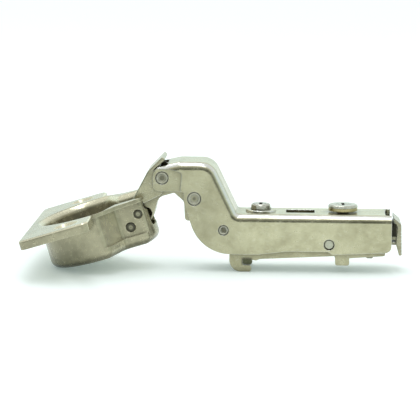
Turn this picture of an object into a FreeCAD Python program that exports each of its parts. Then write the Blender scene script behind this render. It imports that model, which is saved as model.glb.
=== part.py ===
import FreeCAD, Part
import math
import os
import re

import Sketcher
from FreeCAD import Rotation, Vector

# Concealed cupboard hinge with a cranked arm, shown fully open.
# The side view is drawn in X (along the arm, hinge cup at -X) and Z (up); Y is the hinge's width.
# The cup and its pins are drawn level in their own frame: U along X, V along Y, N up, with the
# origin at the cup's centre on top of its flange, and are then tilted into place.

# Driving sizes in millimetres and degrees
SIZES = {
    # Where the hinge stands in its frame
    "frame_shift": -2.1,
    "floor_z": -0.4,
    "running": 0.05,
    "cut_past": 1.0,
    # Cup: place, round body, flats that carry the pins
    "cup_end_x": -19.42467,
    "cup_end_z": 23.2165,
    "cup_tilt": 17.0,
    "cup_radius": 17.5,
    "cup_depth": 14.6,
    "cup_sheet": 1.0,
    "cup_flat": 8.5,
    "flat_run": 10.3,
    "cup_shoulder": 2.5,
    "cup_floor_band": 3.6,
    "cup_ledge_flat": 9.6,
    "cup_bottom_radius": 2.4,
    "cup_mouth_radius": 2.2,
    "cup_bend_radius": 1.8,
    # Cup: screw wings and the thin rim beside the pins
    "wing_lip": 2.9,
    "wing_right": 1.3,
    "wing_margin": 7.2,
    "wing_corner": 2.4,
    "wing_thickness": 2.8,
    "wing_bevel": 0.7,
    "rim_thickness": 1.2,
    "rim_lip": 1.2,
    "rim_waist_inset": 8.9,
    "rim_waist_lip": 4.7,
    "rim_end_inset": 1.2,
    "rim_end_lip": 2.4,
    "screw_hole_u": -6.1,
    "screw_margin": 6.5,
    "screw_hole_radius": 2.6,
    "screw_countersink": 1.2,
    "notch_shelf": 3.9,
    "notch_half": 5.6,
    "notch_floor": 9.9,
    # Cup pins
    "upper_pin_inset": 3.9,
    "upper_pin_n": -5.0,
    "upper_pin_radius": 1.25,
    "lower_pin_inset": 7.2,
    "lower_pin_n": -8.3,
    "lower_pin_radius": 1.35,
    "pin_recess": 0.45,
    "pin_hole_chamfer": 0.35,
    # Pivots in the arm
    "front_pivot_x": -14.4,
    "front_pivot_z": 28.5,
    "middle_pivot_x": -4.5,
    "middle_pivot_z": 22.3,
    "spring_pivot_x": 4.5,
    "spring_pivot_z": 12.7,
    "guide_pin_x": 36.8,
    "guide_pin_z": 8.6,
    "front_rivet_radius": 2.0,
    "middle_rivet_radius": 2.1,
    "spring_rivet_radius": 1.6,
    "guide_pin_radius": 1.6,
    "guide_pin_recess": 0.5,
    "rivet_edge": 0.3,
    "dimple_depth": 0.35,
    # Cranked arm: a channel folded from one sheet
    "arm_half_width": 8.5,
    "arm_sheet": 1.5,
    "arm_bend_radius": 2.3,
    "hump_top": 33.4,
    "web_front": -12.8,
    "web_front_drop": 0.8,
    "crank_crest": 0.9,
    "crank_foot": 8.6,
    "hump_radius": 5.5,
    "foot_radius": 1.0,
    "arm_top": 17.6,
    "arm_rear": 55.8,
    "arm_rear_low": 6.4,
    "arm_rear_radius": 1.9,
    "arm_low_step_x": 38.0,
    "arm_low_step": 5.5,
    "arm_low_back_x": 24.0,
    "arm_low_back": 6.4,
    "arm_low_front_x": 15.0,
    "arm_low_front": 5.3,
    "belly_x": -2.5,
    "belly_radius": 12.6,
    "throat_x": -7.7,
    "throat_z": 21.3,
    "ear_low": 24.4,
    "ear_left": -17.2,
    "ear_top": 32.3,
    "ear_low_radius": 1.6,
    "ear_top_radius": 3.6,
    "ear_joggle": 0.8,
    "ear_joggle_x": -8.2,
    "ear_joggle_top": 31.3,
    "ear_joggle_low": 24.9,
    # Arm: window, ring boss and cam hole in its web
    "lever_notch": 1.9,
    "lever_notch_half": 6.6,
    "window_front": 23.5,
    "window_rear": 32.3,
    "window_half": 3.0,
    "boss_x": 15.7,
    "boss_radius": 4.65,
    "boss_height": 0.6,
    "stud_play": 0.22,
    "cam_x": 41.0,
    # Outer link
    "link_side_gap": 0.2,
    "link_sheet": 1.3,
    "web_low_x": -24.9,
    "web_low_z": 18.9,
    "web_high_x": -18.9,
    "web_high_z": 30.3,
    "web_knee_radius": 3.5,
    "curl_end_x": -14.4,
    "curl_end_z": 34.9,
    "link_bend_radius": 0.4,
    "cheek_waist": 2.1,
    "outer_eye_front": 3.2,
    "outer_eye_cup": 2.9,
    # Inner link
    "inner_side_gap": 0.4,
    "inner_eye_arm": 3.7,
    "fork_upper_left": -0.1,
    "fork_lower_left": -0.7,
    "fork_low": 3.3,
    "fork_reach": 2.65,
    "fork_play": 0.09,
    "tail_left": -7.45,
    "tail_right": -2.2,
    "tail_low": 15.0,
    "tail_radius": 1.0,
    # Closing spring and its shoe
    "spring_wire_radius": 0.6,
    "spring_coil_radius": 2.35,
    "spring_turns": 3,
    "spring_inner_y": 2.5,
    "spring_tip_x": -3.4,
    "spring_tip_z": 13.0,
    "spring_back_angle": 95,
    "spring_back_length": 3.6,
    "shoe_length": 4.2,
    "shoe_half_width": 1.8,
    "shoe_gap": 0.3,
    # Clip carrier: inner channel
    "carrier_side_gap": 0.4,
    "carrier_sheet": 1.2,
    "carrier_top": 13.4,
    "carrier_front": 10.7,
    "carrier_inset": 1.8,
    "carrier_rear_low": 5.0,
    "tab_front": 38.7,
    "tab_rear": 43.1,
    "tab_low": 1.9,
    "tab_radius": 0.7,
    "strip_low_rear": 4.8,
    "strip_low_front": 3.6,
    "strip_front_x": 15.6,
    "hook_left": 6.3,
    "hook_shoulder": 6.5,
    "hook_mouth_left": 10.4,
    "hook_mouth_top": 3.5,
    "hook_lip_top": 1.7,
    "hook_lip_end": 13.1,
    "hook_outer_radius": 3.6,
    "hook_lip_radius": 0.9,
    "carrier_bend_radius": 1.2,
    # Depth adjustment: cam in the carrier, its eccentric in the arm's cross slot
    "depth_travel": 1.73,
    "cam_throw": 2.0,
    "cam_half_turn": 60.0,
    "cam_head_radius": 4.55,
    "cam_head_top": 20.0,
    "cam_head_crown": 0.6,
    "cam_head_gap": 0.5,
    "cam_journal_radius": 2.2,
    "cam_journal_low": 11.6,
    "cam_collar_radius": 3.4,
    "cam_collar_top": 15.4,
    "eccentric_radius": 1.8,
    "eccentric_play": 0.25,
    "washer_inset": 0.1,
    "washer_thickness": 1.0,
    "recess_arm": 2.4,
    "recess_width": 0.9,
    "recess_depth": 0.7,
    "guide_slot_play": 0.62,
    # Side adjustment screw
    "stud_radius": 3.0,
    "stud_top": 19.9,
    "stud_chamfer": 0.4,
    "stud_neck_radius": 1.45,
    "stud_end_radius": 1.1,
    "ring_radius": 2.6,
    "ring_thickness": 1.0,
    "seat_gap": 0.1,
    # Release lever
    "lever_pin_inset": 4.0,
    "lever_pin_z": 9.4,
    "lever_pin_radius": 1.2,
    "lever_side_gap": 0.3,
    "lever_sheet": 1.2,
    "lever_eye_radius": 2.3,
    "lever_plate_gap": 1.7,
    "lever_plate_thickness": 1.6,
    "lever_plate_low": 5.2,
    "lever_shoulder_z": 14.6,
    "lever_lip_gap": 0.7,
    "lever_lip_z": 16.8,
    "lever_wing_gap": 0.2,
    "lever_wing_top": 15.0,
    "lever_strap_top": 10.5,
    "lever_strap_low": 8.3,
    "lever_nose_low": 4.0,
    "serration_pitch": 1.05,
    "serration_depth": 0.35,
    "lever_wire_radius": 0.3,
    "lever_coil_radius": 1.65,
    "lever_coil_turns": 5,
    "lever_leg": 3.0,
}

FUNCTIONS = {"sin", "cos", "tan", "atan", "sqrt", "max", "min"}

# Sizes that follow from the driving ones: the cup from its end at the links, the widths from the
# arm inwards, and the rear from the arm's end
FOLLOWING = {
    "cup_x": "cup_end_x - cup_radius * cos(cup_tilt)",
    "cup_z": "cup_end_z - cup_radius * sin(cup_tilt)",
    "cup_flat_start": "cup_radius - flat_run",
    "wing_left": "0 - cup_radius - wing_lip",
    "wing_half_span": "screw_spacing / 2 + wing_margin",
    "rim_shoulder": "cup_radius + rim_lip",
    "rim_waist_u": "cup_radius - rim_waist_inset",
    "rim_waist_v": "cup_flat + rim_waist_lip",
    "rim_end": "cup_radius - rim_end_inset",
    "rim_end_v": "cup_flat + rim_end_lip",
    "screw_spacing": "2 * (cup_radius + screw_margin)",
    "upper_pin_u": "cup_radius - upper_pin_inset",
    "lower_pin_u": "cup_radius - lower_pin_inset",
    "cup_ledge_depth": "cup_depth - cup_floor_band",
    "link_half_width": "arm_half_width - arm_sheet - link_side_gap",
    "inner_half_width": "link_half_width - link_sheet - inner_side_gap",
    "boss_hole_radius": "stud_radius + stud_play",
    "washer_radius": "cam_head_radius - washer_inset",
    "carrier_half_width": "arm_half_width - arm_sheet - carrier_side_gap",
    "lever_half_width": "carrier_half_width - carrier_sheet - lever_side_gap",
    "lever_plate_half": "carrier_half_width - lever_side_gap",
    "carrier_rear": "arm_rear - carrier_inset",
    "lever_pin_x": "carrier_rear - lever_pin_inset",
    "lever_plate_inner": "arm_rear + lever_plate_gap",
    "lever_plate_outer": "lever_plate_inner + lever_plate_thickness",
    "lever_lip_x": "arm_rear + lever_lip_gap",
    "lever_wing_x": "arm_rear + lever_wing_gap",
}

doc = FreeCAD.newDocument("CrankedHinge")
sheet = doc.addObject("Spreadsheet::Sheet", "Sizes")
for row, (alias, number) in enumerate(SIZES.items(), start=1):
    sheet.set(f"A{row}", alias)
    sheet.set(f"B{row}", str(number))
    sheet.setAlias(f"B{row}", alias)
doc.recompute()

# Places worked out from the driving sizes, as expressions
UPPER_PIN_X = "(cup_x + upper_pin_u * cos(cup_tilt) - upper_pin_n * sin(cup_tilt))"
UPPER_PIN_Z = "(cup_z + upper_pin_u * sin(cup_tilt) + upper_pin_n * cos(cup_tilt))"
LOWER_PIN_X = "(cup_x + lower_pin_u * cos(cup_tilt) - lower_pin_n * sin(cup_tilt))"
LOWER_PIN_Z = "(cup_z + lower_pin_u * sin(cup_tilt) + lower_pin_n * cos(cup_tilt))"
CRANK_ANGLE = "atan((hump_top - arm_top) / (crank_foot - crank_crest))"
CRANK_OFFSET = f"(arm_sheet * tan({CRANK_ANGLE} / 2))"


def bound(text):
    """The expression with each size written as the sheet's alias, or as what it follows from."""
    def alias(match):
        word = match.group(0)
        if word in FOLLOWING:
            return f"({bound(FOLLOWING[word])})"
        return word if word in FUNCTIONS else "Sizes." + word
    return re.sub(r"[a-z][a-z_]*", alias, str(text))


def size(text):
    """The expression's value as a number."""
    return float(sheet.evalExpression(bound(text)))


def place(part, x="0", y="0", z="0"):
    """Stand a sub-part in the hinge's frame, moved by X, Y and Z."""
    part.setExpression("Placement.Base.x", bound(f"frame_shift + {x}"))
    part.setExpression("Placement.Base.y", bound(y))
    part.setExpression("Placement.Base.z", bound(f"{z} - floor_z"))


def place_in_cup(part):
    """Tilt a sub-part that is drawn in the cup's own frame into its open position."""
    place(part, "cup_x", "0", "cup_z")
    part.Placement.Rotation = Rotation(Vector(0, 1, 0), -size("cup_tilt"))
    part.setExpression("Placement.Rotation.Axis.y", "1")
    part.setExpression("Placement.Rotation.Angle", bound("0 - cup_tilt"))


def new_body(label, in_cup=False):
    body = doc.addObject("PartDesign::Body", label)
    body.Label = label
    if in_cup:
        place_in_cup(body)
    else:
        place(body)
    return body


def new_sketch(body, plane, offset="0"):
    """An empty sketch on one of the body's own planes, moved along that plane's normal."""
    sketch = body.newObject("Sketcher::SketchObject", body.Label + "_sketch")
    roles = {feature.Role: feature for feature in body.Origin.OriginFeatures}
    sketch.AttachmentSupport = [(roles[plane], "")]
    sketch.MapMode = "FlatFace"
    sketch.setExpression("AttachmentOffset.Base.z", bound(offset))
    return sketch


def pin_point(sketch, geometry, position, x, y):
    """Tie a point of the sketch to two sizes."""
    for kind, text in (("DistanceX", x), ("DistanceY", y)):
        index = sketch.addConstraint(Sketcher.Constraint(kind, -1, 1, geometry, position, size(text)))
        sketch.setExpression(f"Constraints[{index}]", bound(text))


def add_outline(sketch, corners):
    """Closed outline through the corners; a third text rounds its corner by that radius."""
    points = [Vector(size(corner[0]), size(corner[1]), 0) for corner in corners]
    count = len(points)
    starts = []
    stops = []
    arcs = {}
    for index, corner in enumerate(corners):
        here = points[index]
        back = (points[index - 1] - here).normalize()
        ahead = (points[(index + 1) % count] - here).normalize()
        reach = 0.0
        if len(corner) == 3:
            half = back.getAngle(ahead) / 2
            reach = size(corner[2]) / math.tan(half)
            centre = here + (back + ahead).normalize() * (size(corner[2]) / math.sin(half))
            arcs[index] = (centre, (back.x * ahead.y - back.y * ahead.x) < 0)
        starts.append(here + back * reach)
        stops.append(here + ahead * reach)
    lines = [
        sketch.addGeometry(Part.LineSegment(stops[index], starts[(index + 1) % count]))
        for index in range(count)
    ]
    for index, corner in enumerate(corners):
        before = lines[index - 1]
        after = lines[index]
        if index not in arcs:
            sketch.addConstraint(Sketcher.Constraint("Coincident", before, 2, after, 1))
            pin_point(sketch, after, 1, corner[0], corner[1])
            continue
        centre, left_turn = arcs[index]
        first, last = (starts[index], stops[index]) if left_turn else (stops[index], starts[index])
        angles = [math.atan2(point.y - centre.y, point.x - centre.x) for point in (first, last)]
        circle = Part.Circle(centre, Vector(0, 0, 1), size(corner[2]))
        arc = sketch.addGeometry(Part.ArcOfCircle(circle, angles[0], angles[1]))
        entry, leave = (1, 2) if left_turn else (2, 1)
        sketch.addConstraint(Sketcher.Constraint("Tangent", before, 2, arc, entry))
        sketch.addConstraint(Sketcher.Constraint("Tangent", arc, leave, after, 1))
        radius = sketch.addConstraint(Sketcher.Constraint("Radius", arc, size(corner[2])))
        sketch.setExpression(f"Constraints[{radius}]", bound(corner[2]))
        tip = sketch.addGeometry(Part.Point(points[index]), True)
        sketch.addConstraint(Sketcher.Constraint("PointOnObject", tip, 1, before))
        sketch.addConstraint(Sketcher.Constraint("PointOnObject", tip, 1, after))
        pin_point(sketch, tip, 1, corner[0], corner[1])


def add_circle(sketch, x, y, radius):
    circle = Part.Circle(Vector(size(x), size(y), 0), Vector(0, 0, 1), size(radius))
    geometry = sketch.addGeometry(circle)
    index = sketch.addConstraint(Sketcher.Constraint("Radius", geometry, size(radius)))
    sketch.setExpression(f"Constraints[{index}]", bound(radius))
    pin_point(sketch, geometry, 3, x, y)


def extrude(body, kind, sketch, length, symmetric, reverse=False):
    """A Pad or Pocket of the sketch by the given length."""
    feature = body.newObject("PartDesign::" + kind, body.Label + "_" + kind.lower())
    feature.Profile = sketch
    feature.SideType = "Symmetric" if symmetric else "One side"
    feature.Reversed = reverse
    feature.setExpression("Length", bound(length))
    doc.recompute()
    return feature


def side_pad(body, corners, half_width):
    """Pad a side-view outline to both sides of the hinge's middle plane."""
    sketch = new_sketch(body, "XZ_Plane")
    add_outline(sketch, corners)
    return extrude(body, "Pad", sketch, f"2 * ({half_width})", True)


def side_disc(body, x, z, radius, half_width):
    sketch = new_sketch(body, "XZ_Plane")
    add_circle(sketch, x, z, radius)
    return extrude(body, "Pad", sketch, f"2 * ({half_width})", True)


def side_pocket(body, corners, half_width):
    sketch = new_sketch(body, "XZ_Plane")
    add_outline(sketch, corners)
    return extrude(body, "Pocket", sketch, f"2 * ({half_width})", True)


def side_hole(body, holes, half_width):
    """Round holes across the hinge: a list of X, Z and radius."""
    sketch = new_sketch(body, "XZ_Plane")
    for x, z, radius in holes:
        add_circle(sketch, x, z, radius)
    return extrude(body, "Pocket", sketch, f"2 * ({half_width})", True)


def edge_names(feature, wanted):
    """Names of the feature's edges whose middle point passes the test."""
    names = []
    for index, edge in enumerate(feature.Shape.Edges, start=1):
        if edge.Degenerated:
            continue
        middle = edge.valueAt((edge.FirstParameter + edge.LastParameter) / 2)
        if wanted(edge, middle):
            names.append(f"Edge{index}")
    return names


def dress(body, kind, feature, names, amount):
    """Fillet or Chamfer the named edges of the feature."""
    dressed = body.newObject("PartDesign::" + kind, body.Label + "_" + kind.lower())
    dressed.Base = (feature, names)
    dressed.setExpression("Radius" if kind == "Fillet" else "Size", bound(amount))
    doc.recompute()
    return dressed


def near(first, second, margin=1e-4):
    return abs(first - second) < margin


# Hinge cup


def add_cup_plan(sketch, radius, flat, start, shoulder_u="cup_shoulder"):
    """Plan of the cup: a round left side, shoulders down to two flats, and a round right end."""
    far = size(radius)
    half = size(flat)
    shoulder = Vector(size(shoulder_u), math.sqrt(far**2 - size(shoulder_u) ** 2), 0)
    waist = Vector(size(start), half, 0)
    end = Vector(math.sqrt(far**2 - half**2), half, 0)
    mirrored = [Vector(point.x, -point.y, 0) for point in (shoulder, waist, end)]
    circle = Part.Circle(Vector(0, 0, 0), Vector(0, 0, 1), far)
    around = math.atan2(shoulder.y, shoulder.x)
    ahead = math.atan2(end.y, end.x)
    left = sketch.addGeometry(Part.ArcOfCircle(circle, around, 2 * math.pi - around))
    right = sketch.addGeometry(Part.ArcOfCircle(circle, -ahead, ahead))
    slope = sketch.addGeometry(Part.LineSegment(shoulder, waist))
    side = sketch.addGeometry(Part.LineSegment(waist, end))
    low_slope = sketch.addGeometry(Part.LineSegment(mirrored[1], mirrored[0]))
    low_side = sketch.addGeometry(Part.LineSegment(mirrored[2], mirrored[1]))
    joints = (
        (left, 1, slope, 1), (slope, 2, side, 1), (side, 2, right, 2),
        (right, 1, low_side, 1), (low_side, 2, low_slope, 1), (low_slope, 2, left, 2),
    )
    for first, first_end, second, second_end in joints:
        sketch.addConstraint(Sketcher.Constraint("Coincident", first, first_end, second, second_end))
    for arc in (left, right):
        sketch.addConstraint(Sketcher.Constraint("Coincident", arc, 3, -1, 1))
    index = sketch.addConstraint(Sketcher.Constraint("Radius", left, far))
    sketch.setExpression(f"Constraints[{index}]", bound(radius))
    for line, sign in ((side, ""), (low_side, "0 - ")):
        sketch.addConstraint(Sketcher.Constraint("Horizontal", line))
        point = 1 if line == side else 2
        pin_point(sketch, line, point, start, f"{sign}({flat})")
    for line, point in ((slope, 1), (low_slope, 2)):
        index = sketch.addConstraint(
            Sketcher.Constraint("DistanceX", -1, 1, line, point, size(shoulder_u))
        )
        sketch.setExpression(f"Constraints[{index}]", bound(shoulder_u))


def upright(edge, radius_limit):
    """True for a straight edge along N inside the given distance from the cup's axis."""
    if edge.Curve.TypeId != "Part::GeomLine" or abs(edge.tangentAt(edge.FirstParameter).z) < 0.99:
        return False
    point = edge.Vertexes[0].Point
    return math.hypot(point.x, point.y) < radius_limit


def make_hinge_cup():
    cup = new_body("hinge_cup", in_cup=True)
    # Flange: the thick screw wings and the thin rim beside the flats
    sketch = new_sketch(cup, "XY_Plane")
    add_outline(sketch, [
        ("wing_left", "0 - wing_half_span", "wing_corner"),
        ("wing_right", "0 - wing_half_span", "wing_corner"),
        ("wing_right", "wing_half_span", "wing_corner"),
        ("wing_left", "wing_half_span", "wing_corner"),
    ])
    wings = extrude(cup, "Pad", sketch, "wing_thickness", False, reverse=True)
    top_edges = edge_names(wings, lambda edge, middle: near(middle.z, 0))
    dress(cup, "Fillet", wings, top_edges, "wing_bevel")
    sketch = new_sketch(cup, "XY_Plane")
    add_outline(sketch, [
        ("0", "0 - rim_shoulder"),
        ("wing_right + 1", "0 - rim_shoulder", "cup_bend_radius"),
        ("rim_waist_u", "0 - rim_waist_v", "4 * cup_bend_radius"),
        ("rim_end", "0 - rim_end_v", "cup_bend_radius"),
        ("rim_end", "rim_end_v", "cup_bend_radius"),
        ("rim_waist_u", "rim_waist_v", "4 * cup_bend_radius"),
        ("wing_right + 1", "rim_shoulder", "cup_bend_radius"),
        ("0", "rim_shoulder"),
    ])
    extrude(cup, "Pad", sketch, "rim_thickness", False, reverse=True)
    # Cup body: flats above the ledge, a wider band below it, and a rounded bottom
    sketch = new_sketch(cup, "XY_Plane")
    add_cup_plan(sketch, "cup_radius", "cup_flat", "cup_flat_start")
    extrude(cup, "Pad", sketch, "cup_ledge_depth", False, reverse=True)
    sketch = new_sketch(cup, "XY_Plane", "0 - cup_ledge_depth")
    add_cup_plan(sketch, "cup_radius", "cup_ledge_flat", "cup_flat_start + 0.7", "cup_shoulder + 0.9")
    base = extrude(cup, "Pad", sketch, "cup_depth - cup_ledge_depth", False, reverse=True)
    corners = edge_names(
        base,
        lambda edge, middle: upright(edge, size("cup_radius") + 0.1) and middle.z < -size("wing_thickness"),
    )
    base = dress(cup, "Fillet", base, corners, "cup_bend_radius")
    bottom = edge_names(base, lambda edge, middle: near(middle.z, -size("cup_depth")))
    dress(cup, "Fillet", base, bottom, "cup_bottom_radius")
    # Hollow, with a rolled mouth
    sketch = new_sketch(cup, "XY_Plane")
    add_cup_plan(sketch, "cup_radius - cup_sheet", "cup_flat - cup_sheet", "cup_flat_start - cup_sheet / 2")
    hollow = extrude(cup, "Pocket", sketch, "cup_depth - cup_sheet", False)
    inner = size("cup_radius - cup_sheet") + 0.1
    corners = edge_names(
        hollow,
        lambda edge, middle: upright(edge, inner) and 0 < middle.x < size("cup_flat_start") + 1,
    )
    hollow = dress(cup, "Fillet", hollow, corners, "cup_bend_radius")
    # Notch in the end wall for the links
    sketch = new_sketch(cup, "YZ_Plane", "rim_end")
    add_outline(sketch, [
        ("cup_sheet - cup_flat", "cut_past"),
        ("cup_sheet - cup_flat", "0 - notch_shelf", "1"),
        ("0 - notch_half", "0 - notch_shelf - 0.6", "0.6"),
        ("0 - notch_half", "0 - notch_floor", "1.5"),
        ("notch_half", "0 - notch_floor", "1.5"),
        ("notch_half", "0 - notch_shelf - 0.6", "0.6"),
        ("cup_flat - cup_sheet", "0 - notch_shelf", "1"),
        ("cup_flat - cup_sheet", "cut_past"),
    ])
    notched = extrude(cup, "Pocket", sketch, "6", True)
    mouth = edge_names(
        notched,
        lambda edge, middle: near(middle.z, 0) and math.hypot(middle.x, middle.y) < inner
        and (middle.x < size("cup_flat_start") or abs(middle.y) < size("cup_flat")),
    )
    dress(cup, "Fillet", notched, mouth, "cup_mouth_radius")
    # Countersunk screw holes in the wings
    sketch = new_sketch(cup, "XY_Plane")
    for sign in ("", "0 - "):
        add_circle(sketch, "screw_hole_u", f"{sign}screw_spacing / 2", "screw_hole_radius")
    holes = extrude(cup, "Pocket", sketch, "wing_thickness + cut_past", False)
    rims = edge_names(
        holes,
        lambda edge, middle: near(middle.z, 0) and edge.Curve.TypeId == "Part::GeomCircle"
        and near(edge.Curve.Radius, size("screw_hole_radius")),
    )
    dress(cup, "Chamfer", holes, rims, "screw_countersink")
    # Pin holes through the flats, with the pins' ends sunk in them
    pins = [
        ("upper_pin_u", "upper_pin_n", "upper_pin_radius"),
        ("lower_pin_u", "lower_pin_n", "lower_pin_radius"),
    ]
    holes = side_hole(cup, pins, "cup_flat + cut_past")
    rims = edge_names(
        holes,
        lambda edge, middle: near(abs(middle.y), size("cup_flat")) and edge.Curve.TypeId == "Part::GeomCircle"
        and edge.Curve.Radius < size("lower_pin_radius") + 0.01,
    )
    dress(cup, "Chamfer", holes, rims, "pin_hole_chamfer")
    return cup


def make_cross_pin(label, x, z, radius, half_length, edge, in_cup=False, dimple=None):
    """A round pin or rivet across the hinge with eased ends, dimpled where its head was pressed."""
    body = new_body(label, in_cup)
    disc = side_disc(body, x, z, radius, half_length)
    ends = edge_names(disc, lambda edge, middle: near(abs(middle.y), size(half_length)))
    dress(body, "Chamfer", disc, ends, edge)
    if dimple is None:
        return body
    for turned in (False, True):
        sign = "" if turned else "0 - "
        sketch = new_sketch(body, "XZ_Plane", f"{sign}({half_length})")
        add_circle(sketch, x, z, dimple)
        pressed = extrude(body, "Pocket", sketch, "dimple_depth", False, reverse=not turned)
    rims = edge_names(
        pressed,
        lambda edge, middle: near(abs(middle.y), size(half_length)) and near(edge.Curve.Radius, size(dimple)),
    )
    dress(body, "Chamfer", pressed, rims, "dimple_depth * 0.9")
    return body


# Links


def along_web(distance, inward):
    """A point of the outer link's web line: along it from its low end, and in from its face."""
    length = "sqrt((web_high_x - web_low_x)^2 + (web_high_z - web_low_z)^2)"
    run = f"((web_high_x - web_low_x) / {length})"
    rise = f"((web_high_z - web_low_z) / {length})"
    x = f"web_low_x + ({distance}) * {run} + ({inward}) * {rise}"
    z = f"web_low_z + ({distance}) * {rise} - ({inward}) * {run}"
    return x, z


def make_outer_link():
    link = new_body("outer_link")
    knee = along_web("sqrt((web_high_x - web_low_x)^2 + (web_high_z - web_low_z)^2) + 0.2", "link_sheet")
    # Web with the curled nose over the front rivet
    side_pad(link, [
        along_web("0", "0"),
        ("web_high_x", "web_high_z", "web_knee_radius"),
        ("curl_end_x", "curl_end_z", "link_sheet / 3"),
        ("curl_end_x + 0.7 * link_sheet", "curl_end_z - 0.75 * link_sheet", "link_sheet / 3"),
        (knee[0], knee[1], "web_knee_radius - link_sheet"),
        along_web("0", "link_sheet"),
    ], "link_half_width")
    # Cheeks from the front rivet down to the lower cup pin, past the upper one
    side_pad(link, [
        along_web("0 - 4.7", "0.75"),
        along_web("0 - 1.5", "0"),
        along_web("11.8", "0"),
        ("front_pivot_x - 1", "front_pivot_z + outer_eye_front - 0.2"),
        ("front_pivot_x + 0.8 * outer_eye_front", "front_pivot_z"),
        (*along_web("8.4", "7.0"), "2"),
        (*along_web("6.0", "5.2"), "2"),
        (*along_web("1.6", "cheek_waist"), "1"),
        (*along_web("0 - 1.4", "cheek_waist"), "0.8"),
        along_web("0 - 2.3", "4.6"),
        along_web("0 - 4.7", "5.5"),
    ], "link_half_width")
    side_disc(link, "front_pivot_x", "front_pivot_z", "outer_eye_front", "link_half_width")
    side_disc(link, LOWER_PIN_X, LOWER_PIN_Z, "outer_eye_cup", "link_half_width")
    low = Vector(size("web_low_x"), 0, size("web_low_z"))
    run = Vector(size("web_high_x"), 0, size("web_high_z")) - low

    def on_bend(edge, middle):
        """Edges where the straight web folds down into the cheeks."""
        start = Vector(middle.x, 0, middle.z) - low
        return near(abs(middle.y), size("link_half_width")) and start.cross(run).Length / run.Length < 0.02

    solid = link.Tip
    dress(link, "Fillet", solid, edge_names(solid, on_bend), "link_bend_radius")
    # Room between the cheeks, up to the web's inner face
    inner_low = along_web("0", "link_sheet")
    side_pocket(link, [
        (f"{inner_low[0]}", f"{inner_low[1]}"),
        (knee[0], knee[1]),
        ("front_pivot_x + 6", "front_pivot_z + 8"),
        ("front_pivot_x + 12", "front_pivot_z"),
        ("front_pivot_x", "cup_z - 12"),
        (f"{LOWER_PIN_X} - 8", f"{LOWER_PIN_Z} - 8"),
        (f"{LOWER_PIN_X} - 8", f"{LOWER_PIN_Z}"),
        (f"{along_web('0 - 0.01', '0 - 3')[0]}", f"{along_web('0 - 0.01', '0 - 3')[1]}"),
        (f"{along_web('0 - 0.01', 'link_sheet')[0]}", f"{along_web('0 - 0.01', 'link_sheet')[1]}"),
    ], "link_half_width - link_sheet")
    side_hole(link, [
        ("front_pivot_x", "front_pivot_z", "front_rivet_radius + running"),
        (LOWER_PIN_X, LOWER_PIN_Z, "lower_pin_radius + running"),
    ], "link_half_width + cut_past")
    return link


def from_upper_pin(right, above):
    """A point of the inner link's cup end, right of and above the upper cup pin."""
    return f"{UPPER_PIN_X} + {right}", f"{UPPER_PIN_Z} + {above}"


def make_inner_link():
    link = new_body("inner_link")
    side_pad(link, [
        (*from_upper_pin("fork_upper_left", "1"), "0.3"),
        (*from_upper_pin("fork_upper_left + 0.5", "2.9"), "0.8"),
        (*from_upper_pin("4.2", "6.6"), "3"),
        ("front_pivot_x + 3.2", "front_pivot_z - 2.9", "3"),
        ("middle_pivot_x - 0.6", "middle_pivot_z + inner_eye_arm - 0.1"),
        ("middle_pivot_x + inner_eye_arm - 0.3", "middle_pivot_z - 0.6"),
        ("tail_right", "tail_low", "tail_radius"),
        ("tail_left", "tail_low", "tail_radius"),
        ("tail_left - 0.3", "middle_pivot_z - 1.4", "1"),
        ("tail_left - 3.3", "middle_pivot_z + 1.3", "0.7"),
        ("tail_left - 8.2", "middle_pivot_z - 0.1", "3"),
        (*from_upper_pin("4.6", "0 - 1.2"), "2"),
        (*from_upper_pin("2.2", "0 - fork_low"), "0.8"),
        (*from_upper_pin("fork_lower_left", "0 - fork_low"), "0.4"),
        from_upper_pin("fork_lower_left", "0"),
        from_upper_pin("1", "0"),
        from_upper_pin("1", "1"),
    ], "inner_half_width")
    side_disc(link, "middle_pivot_x", "middle_pivot_z", "inner_eye_arm", "inner_half_width")
    # The cup end is a fork: the upper cup pin is held at both ends of its path and free between
    grip = "(upper_pin_radius + fork_play)"
    side_pocket(link, [
        from_upper_pin("0 - 3", grip),
        from_upper_pin("0 - 0.3", grip),
        from_upper_pin("fork_reach * 0.45", f"{grip} + 0.42"),
        (*from_upper_pin("fork_reach * 1.33", f"{grip} + 0.15"), "1"),
        (*from_upper_pin("fork_reach * 1.6", "0 - 0.1"), "1"),
        (*from_upper_pin("fork_reach * 1.43", f"0 - {grip} - 0.27"), "1"),
        (*from_upper_pin("fork_reach * 0.6", f"0 - {grip} - 0.84"), "0.6"),
        from_upper_pin("0 - 0.6", f"0 - {grip}"),
        from_upper_pin("0 - 3", f"0 - {grip}"),
    ], "inner_half_width + cut_past")
    side_hole(link, [
        ("middle_pivot_x", "middle_pivot_z", "middle_rivet_radius + running"),
    ], "inner_half_width + cut_past")
    return link


# Cranked arm


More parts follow.
